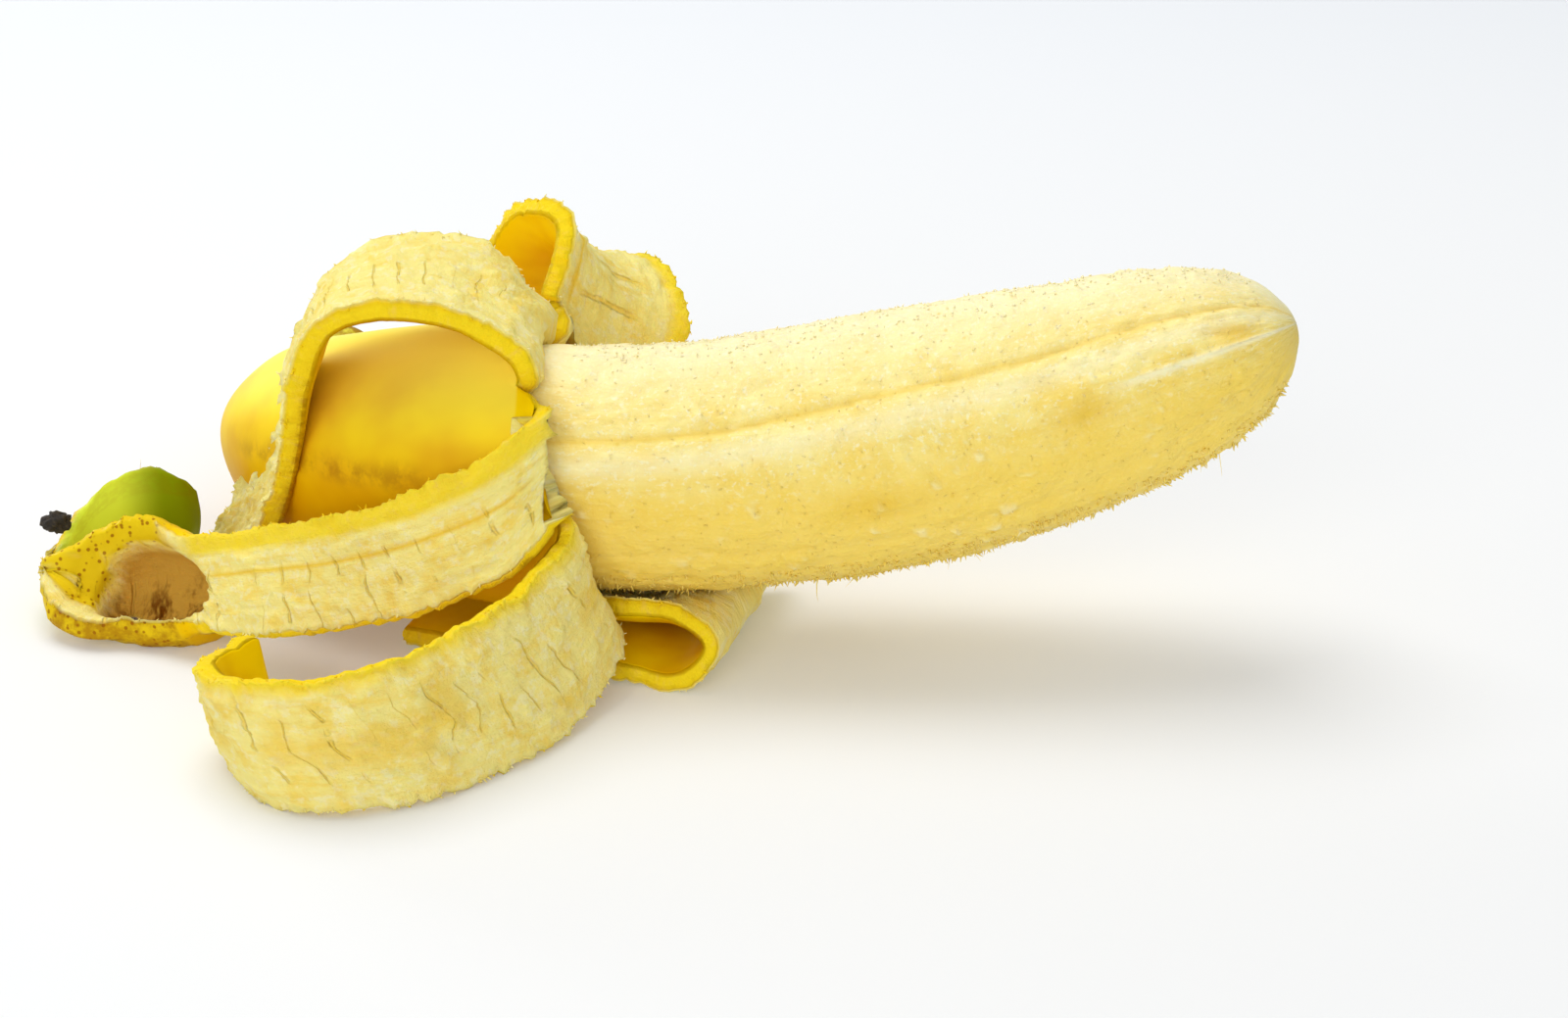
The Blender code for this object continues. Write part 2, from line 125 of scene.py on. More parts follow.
# Cracks across the pith: strip, spacing in millimetres, lean, shares of the width they span
CRACKS = (("middle", 4.5, 0.06, -0.35, 1.2), ("front", 4.0, 0.25, -0.75, 0.6),
          ("rear", 6.0, 0.1, -0.5, 0.6), ("arch", 3.2, 0.0, -0.4, 0.5), ("under", 5.0, 0.1, -0.8, 0.8))
# Bands of torn yellow beside an edge: strip, side, share of the width
TORN_BANDS = (("middle", -1, 0.40), ("front", -1, 0.14), ("rear", -1, 0.2))

# Tip cup, narrow curl and green lobe of the middle strip, millimetres from the ring along the strip
CUP_REACH = (63.0, 67.5)
CURL_REACH = (86.0, 92.0)
LOBE_REACH = (105.0, 112.0)
# Metres
CUP_DEPTH = 0.0060

# Fineness of the surfaces, millimetres
STRIP_STEP = 0.60
BASE_STEP = 1.0
LINING_STEP = 3.0
FLESH_STEP = 0.52
# Layers of a torn rim between skin and pith, shares of the thickness
RIM_STEPS = np.linspace(0, 1, 6)[1:-1]
# Fewest columns of a strip, rows of the buried flesh and closer rows at the tip
FEWEST_COLUMNS = 8
BURIED_ROWS = 26
TIP_ROWS = 15
# Share of the buried length between the ring and the nearest buried row
BURIED_START = 0.03
# Share of the flesh's length that the closer rows at its tip take
TIP_SHARE = 0.03
# Share of the thickness lost at the torn edges, strip by strip
EDGE_THINNING = (0.0, 0.05, 0.25, 0.2, 0.1)

# Seam of the flesh: millimetres from the ring, angle in degrees
SEAM_PATH = ((0, 30, 56, 95), (59, 52, 47, 39))
# Ridge near the tip of the flesh, degrees
RIDGE_ANGLE = 71.0
# Faint grooves of the flesh: angle in degrees, depth in millimetres
FAINT_GROOVES = ((82, 0.16), (118, 0.22), (190, 0.3), (255, 0.3), (312, 0.3), (5, 0.18))

# Fibres: how many, seed, length and width in metres
TOP_FIBRES = (600, 3, 0.0005, 0.00030)
BELLY_FIBRES = (1150, 4, 0.0010, 0.00028)
FRONT_FIBRES = (500, 6, 0.0003, 0.00032)
HANGING_THREADS = (12, 7, 0.0034, 0.00014)
TORN_FIBRES = (850, 11, 0.0006, 0.00026)
TORN_THREADS = (12, 13, 0.0026, 0.00012)
# A fibre's rings: share of its length, share of its width
FIBRE_RINGS = ((-0.03, 1.0), (0.25, 0.8), (0.65, 0.5), (0.9, 0.25))
FIBRE_SIDES = 4

# Size of the blossom remnant as a share of its box
NIB_SHRINK = np.array([0.95, 0.9, 0.8])

# Studio: colours, strengths, places in metres
FLOOR_SIZE = 6.0
FLOOR_WHITE = (0.76, 0.765, 0.77)
# Painted shade: the floor's colour far behind the fruit, bluer and darker
FLOOR_FAR_PAINTED_SHADE = (0.62, 0.665, 0.73)
# Painted light: the floor glows faintly though it is no lamp, which lifts its shadows
FLOOR_GLOW = (0.98, 0.99, 1.0)
FLOOR_GLOW_STRENGTH = 0.13
ROOM_COLOUR = (0.97, 0.985, 1.0)
ROOM_STRENGTH = 0.52
LAMP_COLOUR = (1.0, 0.995, 0.98)
# Name, place, aim, size in metres and power in watts
LAMPS = (("key", (-0.20, 0.30, 0.98), (0, 0, 0.02), 0.7, 6.2),
         ("low_back", (-0.70, 0.80, 0.24), (-0.03, 0, 0.035), 0.45, 2.4),
         ("front", (-0.25, -1.0, 0.42), (-0.02, 0, 0.025), 0.6, 4.0))
CAMERA_FROM_RING = (0.030, -0.45263, 0.17647)
CAMERA_PITCH = 22.0
CAMERA_LENS = 85.0


# ---- noise

def hashed(ix, iy, iz, seed):
    """Repeatable pseudo-random numbers from 0 to 1 for whole-number cells."""
    h = (ix.astype(np.uint32) * np.uint32(374761393) + iy.astype(np.uint32) * np.uint32(668265263)
         + iz.astype(np.uint32) * np.uint32(1274126177) + np.uint32(seed * 7919 + 101))
    h = (h ^ (h >> np.uint32(13))) * np.uint32(1103515245)
    h = (h ^ (h >> np.uint32(16))) * np.uint32(2246822519)
    h = h ^ (h >> np.uint32(13))
    return h.astype(np.float64) / 4294967295.0


def value_noise(points, seed):
    """Smooth noise from 0 to 1 at points, one lump per unit cell."""
    cell = np.floor(points)
    f = points - cell
    f = f * f * (3 - 2 * f)
    cell = cell.astype(np.int64)
    total = 0.0
    weights = (1 - f, f)
    for dx, dy, dz in np.ndindex(2, 2, 2):
        weight = weights[dx][..., 0] * weights[dy][..., 1] * weights[dz][..., 2]
        total = total + weight * hashed(cell[..., 0] + dx, cell[..., 1] + dy, cell[..., 2] + dz, seed)
    return total


def fractal(points, scale, seed, octaves=3):
    """Layered noise from about -1 to 1 with lumps of the given size."""
    total = 0.0
    weight = 0.0
    size, gain = scale, 1.0
    for k in range(octaves):
        total = total + gain * (2 * value_noise(points / size, seed + 17 * k) - 1)
        weight += gain
        size, gain = size / 2.1, gain * 0.55
    return total / weight


def stacked(*parts):
    """Coordinates joined into one array of points."""
    return np.stack(np.broadcast_arrays(*parts), axis=-1).astype(float)


def bump(distance, width):
    """Bell curve that is 1 at distance 0."""
    return np.exp(-(distance / width) ** 2)


def rise(value, low, high):
    """Smooth step from 0 at low to 1 at high."""
    t = np.clip((value - low) / (high - low), 0, 1)
    return t * t * (3 - 2 * t)


# ---- curves of the fruit

def unit(vectors):
    """Vectors scaled to length one."""
    return vectors / np.linalg.norm(vectors, axis=-1, keepdims=True)


def smooth_curve(knots, values, where):
    """Cubic curve through the values at the knots, read at the given places."""
    knots = np.asarray(knots, float)
    values = np.asarray(values, float)
    where = np.clip(np.asarray(where, float), knots[0], knots[-1])
    slopes = np.zeros_like(values)
    steps = np.diff(knots)
    rises = np.diff(values, axis=0) / steps.reshape([-1] + [1] * (values.ndim - 1))
    slopes[0] = rises[0]
    slopes[-1] = rises[-1]
    for k in range(1, len(knots) - 1):
        before, after = steps[k - 1], steps[k]
        slopes[k] = (after * rises[k - 1] + before * rises[k]) / (before + after)
    cell = np.clip(np.searchsorted(knots, where, side="right") - 1, 0, len(knots) - 2)
    extra = (1,) * (values.ndim - 1)
    span = steps[cell]
    t = ((where - knots[cell]) / span).reshape(where.shape + extra)
    span = span.reshape(where.shape + extra)
    start, end = values[cell], values[cell + 1]
    return ((2 * t**3 - 3 * t**2 + 1) * start + (t**3 - 2 * t**2 + t) * span * slopes[cell]
            + (3 * t**2 - 2 * t**3) * end + (t**3 - t**2) * span * slopes[cell + 1])


class Fruit:
    """Sizes and curves shared by the flesh and the peel."""

    def __init__(self):
        self.ring_radius = FLESH_RADIUS * RING_FLESH_FRACTION + FIT_GAP + PEEL_THICKNESS
        self.across = self.ring_radius / RING_RADIUS_REF * MM
        self.along = BARE_LENGTH / BARE_LENGTH_REF * MM
        self.cavity = BURIED_LENGTH + BORE_END_GAP
        points = [np.array(p, float) * self.across for p in STEM_AXIS]
        points += [np.array([p[0] * self.along, p[1] * self.across, p[2] * self.along]) for p in TIP_AXIS]
        self.points = np.array(points)
        steps = np.linalg.norm(np.diff(self.points, axis=0), axis=1)
        lengths = np.concatenate([[0.0], np.cumsum(steps)])
        self.knots = lengths - lengths[len(STEM_AXIS) - 1]
        self.tip = self.knots[-1]
        self.stem = self.knots[0]

    def frame(self, distance):
        """Points, directions, upward and frontward unit vectors on the axis."""
        distance = np.asarray(distance, float)
        point = smooth_curve(self.knots, self.points, distance)
        ahead = smooth_curve(self.knots, self.points, distance + SLOPE_SPAN)
        behind = smooth_curve(self.knots, self.points, distance - SLOPE_SPAN)
        direction = unit(ahead - behind)
        upward = unit(np.array([0, 0, 1.0]) - direction[..., 2:3] * direction)
        return point, direction, upward, np.cross(direction, upward)

    def base_radius(self, distance):
        """Outside radius of the unpeeled base, distance measured back from the ring."""
        table = np.array(BASE_PROFILE, float)
        return smooth_curve(table[:, 0] * self.across, table[:, 1], distance) * self.ring_radius

    def around(self, distance, angle, radius):
        """Points at an angle and radius from the axis."""
        point, _, upward, frontward = self.frame(distance)
        turn = np.cos(angle)[..., None] * upward + np.sin(angle)[..., None] * frontward
        return point + radius[..., None] * turn

    def skin(self, depth, angle):
        """Skin of the unpeeled base at a depth behind the torn edge."""
        share = np.maximum(0.0, 1 - depth / self.cavity) ** 2
        lean = np.maximum(0.0, np.cos(angle - math.radians(TEAR_ANGLE))) ** 2
        back = depth + TEAR_BACK * self.across * lean * share
        return self.around(-back, angle, ridged(self.base_radius(back), angle))


def ridged(radius, angle):
    """Radius of the softly five-sided skin at an angle in radians."""
    return radius * (1 + RIDGE_DEPTH * (np.cos(RIDGE_COUNT * angle) - 1))


# ---- peel surface

def strip_surface(fruit, start, end, ribs):
    """Skin points of one strip as rows by columns, with the distance of each row and share of each column."""
    half = math.radians(end - start) / 2
    columns = max(FEWEST_COLUMNS, int(round(2 * half * fruit.ring_radius / (STRIP_STEP * MM))))
    share = np.linspace(-1, 1, columns + 1)
    angles = math.radians(start) + (share + 1) * half
    edges = angles[[0, -1]]
    first, second, bulges = [], [], []
    for back in (SLOPE_BACK, 0.0):
        depth = np.full(2, back * fruit.across)
        row = fruit.skin(depth, edges)
        first.append(row[0])
        second.append(row[1])
        bulges.append(float(fruit.base_radius(depth[0])) * (1 - math.cos(half)))
    for one, two, bulge in ribs:
        first.append(np.array(one, float) * fruit.across)
        second.append(np.array(two, float) * fruit.across)
        bulges.append(bulge * fruit.across)
    first, second, bulges = np.array(first), np.array(second), np.array(bulges)
    middles = (first + second) / 2
    steps = np.linalg.norm(np.diff(middles, axis=0), axis=1)
    knots = np.concatenate([[0.0], np.cumsum(steps)]) - steps[0]
    rows = int(round(knots[-1] / (STRIP_STEP * MM)))
    where = np.linspace(0.0, knots[-1], rows + 1)
    a = smooth_curve(knots, first, where)
    b = smooth_curve(knots, second, where)
    lift = smooth_curve(knots, bulges, where)
    ahead = smooth_curve(knots, middles, where + SLOPE_SPAN)
    heading = ahead - smooth_curve(knots, middles, where - SLOPE_SPAN)
    chord = b - a
    outward = unit(np.cross(chord, heading))
    over = np.sin(half * share) / math.sin(half) / 2
    out = (np.cos(half * share) - math.cos(half)) / (1 - math.cos(half))
    grid = ((a + b) / 2)[:, None] + over[None, :, None] * chord[:, None]
    grid = grid + out[None, :, None] * (lift[:, None] * outward)[:, None]
    gap = fruit.skin(np.zeros(columns + 1), angles) - grid[0]
    fade = np.maximum(0.0, 1 - where / (FADE_LENGTH * fruit.across))
    fade = fade * fade * (3 - 2 * fade)
    grid = grid + fade[:, None, None] * gap[None]
    return grid, where / MM, share


class PeelMesh:
    """Points, quads and the marks that the material reads, collected piece by piece."""

    def __init__(self):
        self.points = []
        self.quads = []
        self.marks = {name: [] for name in ("strip", "along", "share", "angle", "layer")}
        self.count = 0

    def add(self, points, **given):
        """Add points with their marks, 0 where none is given, and return their indices in the same layout."""
        shape = points.shape[:-1]
        self.points.append(points.reshape(-1, 3))
        for name, values in self.marks.items():
            values.append(np.broadcast_to(given.get(name, 0.0), shape).reshape(-1).astype(float))
        index = np.arange(self.count, self.count + points.size // 3).reshape(shape)
        self.count += index.size
        return index


def grid_quads(index, wrap=False):
    """Quads of a grid of indices, rows by columns; the columns may wrap around."""
    if wrap:
        index = np.concatenate([index, index[:, :1]], axis=1)
    return np.stack([index[:-1, :-1], index[:-1, 1:], index[1:, 1:], index[1:, :-1]], axis=-1).reshape(-1, 4)


def surface_normals(points, quads):
    """Area-weighted point normals."""
    corners = points[quads]
    face = np.cross(corners[:, 2] - corners[:, 0], corners[:, 3] - corners[:, 1])
    normals = np.zeros_like(points)
    for k in range(4):
        np.add.at(normals, quads[:, k], face)
    return unit(normals)


def skin_grid(fruit, depths, ring):
    """Skin of the base at every depth and every angle of the ring."""
    return fruit.skin(depths[:, None] + 0 * ring[None], np.broadcast_to(ring, (len(depths), len(ring))))


def build_peel(fruit):
    """Closed fine surface of the peel: points, quads, triangles and marks."""
    mesh = PeelMesh()
    surfaces, angles = [], []
    for start, end, ribs in STRIPS.values():
        surface = strip_surface(fruit, start, end, ribs)
        surfaces.append(surface)
        angles.append(np.linspace(math.radians(start), math.radians(end), len(surface[2]))[:-1])
    ring = np.concatenate(angles)
    total = len(ring)

    # Skin of the unpeeled base and its stem end
    depths = np.linspace(0.0, -fruit.stem, int(round(-fruit.stem / (BASE_STEP * MM))) + 1)
    skin = skin_grid(fruit, depths, ring)
    skin_index = mesh.add(skin, strip=-1, along=-(depths / MM)[:, None], angle=ring[None])

    # Bore that holds the flesh
    depths = np.linspace(0.0, fruit.cavity, int(round(fruit.cavity / (LINING_STEP * MM))) + 1)
    bore = skin_grid(fruit, depths, ring)
    bore = bore - PEEL_THICKNESS * unit(bore - fruit.frame(-depths)[0][:, None])
    bore_index = mesh.add(bore, strip=-2, along=-(depths / MM)[:, None], angle=ring[None], layer=1.0)
    mesh.quads = [grid_quads(skin_index, wrap=True)[:, ::-1], grid_quads(bore_index, wrap=True)]

    # Notches between the strips, shared by both neighbours
    firsts = np.cumsum([0] + [len(part) for part in angles[:-1]])
    mix = RIM_STEPS[:, None]
    notches = []
    for column in firsts:
        line = skin[0, column] * (1 - mix) + bore[0, column] * mix
        notches.append(mesh.add(line, strip=-3, angle=ring[column], layer=RIM_STEPS))

    axis = fruit.frame(np.zeros(1))[0]
    for number, surface in enumerate(surfaces):
        picked = (firsts[number] + np.arange(len(surface[2]))) % total
        rows = (skin_index[0, picked], bore_index[0, picked])
        sides = (notches[number], notches[(number + 1) % len(surfaces)])
        add_strip(mesh, number, surface, rows, sides, unit(skin[0, picked] - axis))

    # Hubs that close the bore and the stem end
    hub = mesh.add(fruit.frame(-depths[-1:])[0], strip=-2, along=-fruit.cavity / MM, layer=1.0)[0]
    stem = mesh.add(fruit.frame(np.array([fruit.stem]))[0], strip=-1, along=fruit.stem / MM)[0]
    last, deep = skin_index[-1], bore_index[-1]
    triangles = np.concatenate([
        np.stack([last, np.full(total, stem), np.roll(last, -1)], axis=1),
        np.stack([deep, np.roll(deep, -1), np.full(total, hub)], axis=1)])
    marks = {name: np.concatenate(values) for name, values in mesh.marks.items()}
    return np.concatenate(mesh.points), np.concatenate(mesh.quads), triangles, marks


def add_strip(mesh, number, surface, ring_rows, notches, radial):
    """One strip joined to the ring: skin, pith, two torn rims and a torn end."""
    grid, along, share = surface
    heading = np.gradient(grid.mean(axis=1), axis=0)
    normal = unit(np.cross(np.gradient(grid, axis=1), np.gradient(grid, axis=0)))
    blend = rise(along, 0.0, 3.0)[:, None, None]
    normal = unit(blend * normal + (1 - blend) * radial[None])
    grid, normal, thick = shape_strip(number, grid, normal, along, share)
    chord = unit(np.gradient(grid, axis=1))
    pith = grid - thick[..., None] * normal
    pith = pith + torn_lip(number, along, share)[..., None] * chord
    top = mesh.add(grid[1:], strip=number, along=along[1:, None], share=share[None])
    low = mesh.add(pith[1:], strip=number, along=along[1:, None], share=share[None], layer=1.0)
    top = np.concatenate([ring_rows[0][None], top])
    low = np.concatenate([ring_rows[1][None], low])
    mesh.quads += [grid_quads(top), grid_quads(low)[:, ::-1]]

    # Torn rims along both edges
    last = grid.shape[1] - 1
    corners = []
    for side, edge, notch in ((-1, 0, notches[0]), (1, last, notches[1])):
        mix = RIM_STEPS[None, :, None]
        swell = np.sin(np.pi * RIM_STEPS)[None, :, None] * 0.14 * thick[1:, edge][:, None, None]
        swell = swell * rise(along[1:], 0.0, 2.5)[:, None, None]
        rim = grid[1:, edge][:, None] * (1 - mix) + pith[1:, edge][:, None] * mix
        where = stacked(along[1:, None], RIM_STEPS[None] * 2, side * 9.0 + number * 31)
        ragged = 1 + 0.9 * fractal(where, 1.1, 5)[..., None]
        rim = rim + side * (swell * ragged) * chord[1:, edge][:, None]
        index = mesh.add(rim, strip=number, along=along[1:, None], share=side, layer=RIM_STEPS)
        index = np.concatenate([notch[None], index])
        full = np.concatenate([top[:, edge][:, None], index, low[:, edge][:, None]], axis=1)
        mesh.quads.append(grid_quads(full) if side > 0 else grid_quads(full)[:, ::-1])
        corners.append(index[-1])

    # Torn end
    mix = RIM_STEPS[:, None, None]
    inner = slice(1, last)
    swell = np.sin(np.pi * RIM_STEPS)[:, None, None] * 0.3 * thick[-1, inner][None, :, None]
    cap = grid[-1, inner][None] * (1 - mix) + pith[-1, inner][None] * mix + swell * unit(heading[-1])
    index = mesh.add(cap, strip=number, along=along[-1], share=share[None, inner], layer=RIM_STEPS[:, None])
    index = np.concatenate([corners[0][:, None], index, corners[1][:, None]], axis=1)
    mesh.quads.append(grid_quads(np.concatenate([top[-1][None], index, low[-1][None]])))


def torn_lip(number, along, share):
    """How far the ragged pith hangs over the torn edges, positive towards the second edge."""
    lip = 0.0
    for side in (-1, 1):
        where = stacked(along, side * 25.0, number * 17.0)
        teeth = np.abs(fractal(where, 1.35, 25, 2)) * 1.5 + 0.5 * np.maximum(0.0, fractal(where, 5.0, 26, 2))
        near = rise(side * share, 0.80, 1.0)
        lip = lip + side * (teeth * rise(along, 1.0, 5.0))[:, None] * near[None]
    return lip * MM


def cup_hollow(along, share):
    """Depth of the hollow tip cup from 0 at its rim to 1 inside."""
    reach = (along - CUP_REACH[0]) / (CURL_REACH[0] - CUP_REACH[0])
    away = np.sqrt(((reach - 0.42) / 0.52) ** 2 + ((share - 0.12) / 0.98) ** 2)
    return 1 - rise(away, 0.5, 1.0)


def shape_strip(number, grid, normal, along, share):
    """Ragged torn edges, wrinkles and uneven thickness of one strip: points, normals and thickness."""
    chord = unit(np.gradient(grid, axis=1))
    grown = rise(along, 0.0, 3.0)
    grid = grid.copy()
    for side, first in ((-1, True), (1, False)):
        slow = fractal(stacked(along, side * 40.0, number * 13.0), 6.0, 21, 2)
        fine = fractal(stacked(along, side * 40.0, number * 13.0), 1.5, 22, 3)
        shift = (0.6 * slow + 0.5 * fine) * MM * grown
        near = rise(side * share, 0.55, 1.0)
        grid += side * shift[:, None, None] * near[None, :, None] * chord
    where = stacked(along[:, None], share[None] * 10, number * 50.0)
    slow = fractal(where, 9.0, 31, 2)
    grid += (0.22 * slow * MM * grown[:, None])[..., None] * normal
    if number == list(STRIPS).index("middle"):
        hollow = cup_hollow(along[:, None], share[None])
        grid += (CUP_DEPTH * hollow)[..., None] * normal
    lumps = fractal(where, 3.2, 41, 3)
    fibres = fractal(where * np.array([0.12, 1.6, 1.0]), 1.2, 42, 2)
    flakes = rise(fractal(where, 1.7, 43, 2), 0.15, 0.55)
    thick = 1.0 + 0.16 * lumps + 0.09 * fibres + 0.15 * flakes
    thick = thick - grown[:, None] * EDGE_THINNING[number] * rise(np.abs(share), 0.6, 1.0)[None]
    return grid, normal, PEEL_THICKNESS * thick


def flesh_rows(fruit):
    """Distances from the ring and radii of the rows of the flesh, from its buried end to its tip."""
    bare = np.array(FLESH_PROFILE, float)
    buried = np.array(BURIED_PROFILE, float)
    back = np.linspace(buried[-1, 0], BURIED_START, BURIED_ROWS)
    bore = fruit.base_radius(BURIED_LENGTH * back * (1 + BORE_LEAD_RATE)) - PEEL_THICKNESS - FIT_GAP
    bore = bore - BORE_SLACK_RATE * BURIED_LENGTH * back
    back_radius = bore * smooth_curve(buried[:, 0], buried[:, 1], back)
    count = int(round(fruit.tip / (FLESH_STEP * MM)))
    late = 1 - TIP_SHARE * np.linspace(1, 0, TIP_ROWS)[1:-1] ** 1.8
    ahead = np.concatenate([np.linspace(0.0, 1 - TIP_SHARE, count), late])
    ahead_radius = smooth_curve(bare[:, 0], bare[:, 1], ahead) * FLESH_RADIUS
    close, small = bare[-1]
    round_end = ahead > close
    left = np.maximum(0.0, (1 - ahead[round_end]) / (1 - close))
    ahead_radius[round_end] = FLESH_RADIUS * small * np.sqrt(left)
    distance = np.concatenate([-BURIED_LENGTH * back, ahead * fruit.tip])
    return distance, np.concatenate([back_radius, ahead_radius])


def flesh_relief(circle, along, degrees, reach):
    """Height of the seam, the grooves, the lumps and the torn spots of the flesh, in millimetres."""
    groove = groove_angle(along)
    wander = 1.6 * fractal(stacked(along, 0.0, 3.0), 9.0, 51, 2)
    depth = 0.6 + 0.4 * fractal(stacked(along, 0, 0), 5, 52, 2)
    relief = -0.62 * bump(degrees - groove - wander, 1.9) * depth
    relief -= 0.30 * bump(degrees - groove, 9.0)
    for centre, depth in FAINT_GROOVES:
        relief -= depth * bump(degrees - centre - wander * 2, 2.5)
    relief += 0.35 * fractal(circle, 14.0, 61, 2)
    relief += 0.34 * fractal(circle, 4.2, 62, 3)
    relief += 0.30 * fractal(circle, 1.7, 66, 2)
    torn = rise(fractal(circle, 6.0, 67, 2), -0.05, 0.35)
    relief += 0.45 * torn * rise(fractal(circle, 1.5, 68, 2), 0.25, 0.6)
    relief += 0.65 * bump(degrees - RIDGE_ANGLE - wander, 1.6) * rise(reach, 0.74, 0.84)
    relief += 0.10 * fractal(circle * np.array([0.13, 1.0, 1.0]), 1.3, 63, 2)
    relief -= 0.25 * rise(fractal(circle, 2.0, 64, 2), 0.42, 0.75)
    relief -= 0.5 * rise(reach, 0.72, 0.95) * rise(fractal(circle, 5.0, 65, 2), 0.1, 0.6)
    return relief


def build_flesh(fruit):
    """Closed fine surface of the flesh: points, quads, triangles and marks."""
    around = int(round(2 * math.pi * FLESH_RADIUS / (FLESH_STEP * MM)))
    angles = np.linspace(0, 2 * math.pi, around + 1)[:-1]
    distance, radius = flesh_rows(fruit)
    theta = np.broadcast_to(angles, (len(distance), around))
    along = distance[:, None] / MM + 0 * theta
    reach = along / (fruit.tip / MM)
    circle = stacked(along, np.cos(theta) * FLESH_RADIUS / MM, np.sin(theta) * FLESH_RADIUS / MM)
    show = rise(along, 0.0, 4.0) * rise(1 - reach, 0.0, 0.06)
    relief = flesh_relief(circle, along, np.degrees(theta), reach) * show * MM
    points = fruit.around(distance[:, None] + 0 * theta, theta, ridged(radius[:, None], theta) + relief)
    index = np.arange(points.size // 3).reshape(points.shape[:2])
    rear, front = index.size, index.size + 1
    ends = fruit.frame(np.array([-BURIED_LENGTH, fruit.tip]))[0]
    triangles = np.concatenate([
        np.stack([index[0], np.roll(index[0], -1), np.full(around, rear)], axis=1),
        np.stack([index[-1], np.full(around, front), np.roll(index[-1], -1)], axis=1)])
    marks = {"along": np.append(along.reshape(-1), [-BURIED_LENGTH / MM, fruit.tip / MM]),
             "angle": np.append(theta.reshape(-1), [0.0, 0.0])}
    return np.concatenate([points.reshape(-1, 3), ends]), grid_quads(index, wrap=True), triangles, marks


def groove_angle(along):
    """Angle in degrees of the seam along the flesh, by distance from the ring in millimetres."""
    return np.interp(along, *SEAM_PATH)


def fuzz(points, normals, allowed, count, seed, length, width):
    """Short tapering fibres on chosen points: points, quads, triangles and the point each stands on."""
    order = hashed(np.arange(len(points)), np.full(len(points), seed), np.zeros(len(points), int), seed)
    order = np.where(allowed, order, 2.0)
    roots = np.argsort(order, kind="stable")[:count]
    chance = [hashed(roots, np.full(count, k), np.full(count, seed), 5)[:, None] for k in range(6)]
    lean = unit(np.concatenate(chance[:3], axis=1) - 0.5)
    upward = unit(normals[roots] + 0.8 * lean)
    side = unit(np.cross(upward, lean + 0.01))
    across = np.cross(upward, side)
    tall = length * (0.35 + 0.65 * chance[3] ** 2)
    wide = width * (0.5 + 0.5 * chance[4])
    bend = side * (chance[5] - 0.5) * tall
    cloud = []
    for share, size in FIBRE_RINGS:
        centre = points[roots] + upward * tall * share + bend * share ** 2
        for k in range(FIBRE_SIDES):
            angle = 2 * math.pi * k / FIBRE_SIDES
            cloud.append(centre + wide * size * (math.cos(angle) * side + 0.5 * math.sin(angle) * across))
    cloud.append(points[roots] + upward * tall + bend)
    each = len(cloud)
    start = np.arange(count)[:, None] * each
    rings = np.arange(each - 1).reshape(-1, FIBRE_SIDES)
    quads = [start + quad for quad in grid_quads(rings, wrap=True)]
    quads.append(start + rings[0][::-1])
    triangles = [start + np.array([a, b, each - 1]) for a, b in zip(rings[-1], np.roll(rings[-1], -1))]
    points = np.stack(cloud, axis=1).reshape(-1, 3)
    return points, np.concatenate(quads), np.concatenate(triangles), np.repeat(roots, each)


def with_fuzz(points, quads, triangles, marks, sets):
    """Surface joined with several sets of fibres."""
    normals = surface_normals(points, quads)
    pieces = [(points, quads, triangles, np.arange(len(points)))]
    total = len(points)
    for allowed, *sizes in sets:
        cloud, more_quads, more_triangles, roots = fuzz(points, normals, allowed, *sizes)
        pieces.append((cloud, more_quads + total, more_triangles + total, roots))
        total += len(cloud)
    points, quads, triangles, source = (np.concatenate(part) for part in zip(*pieces))
    return points, quads, triangles, {name: values[source] for name, values in marks.items()}


# ---- objects and materials

def placed(name, data):
    """New object with the data, linked into the scene."""
    item = bpy.data.objects.new(name, data)
    bpy.context.scene.collection.objects.link(item)
    return item


def mesh_object(name, points, quads, triangles, attributes):
    """Smooth mesh object carrying point attributes."""
    mesh = bpy.data.meshes.new(name)
    mesh.from_pydata(points.tolist(), [], quads.tolist() + triangles.tolist())
    for key, values in attributes.items():
        kind, field = ("FLOAT", "value") if values.ndim == 1 else ("FLOAT_VECTOR", "vector")
        layer = mesh.attributes.new(key, kind, "POINT")
        layer.data.foreach_set(field, values.astype(np.float32).reshape(-1))
    mesh.polygons.foreach_set("use_smooth", [True] * len(mesh.polygons))
    mesh.update()
    return placed(name, mesh)


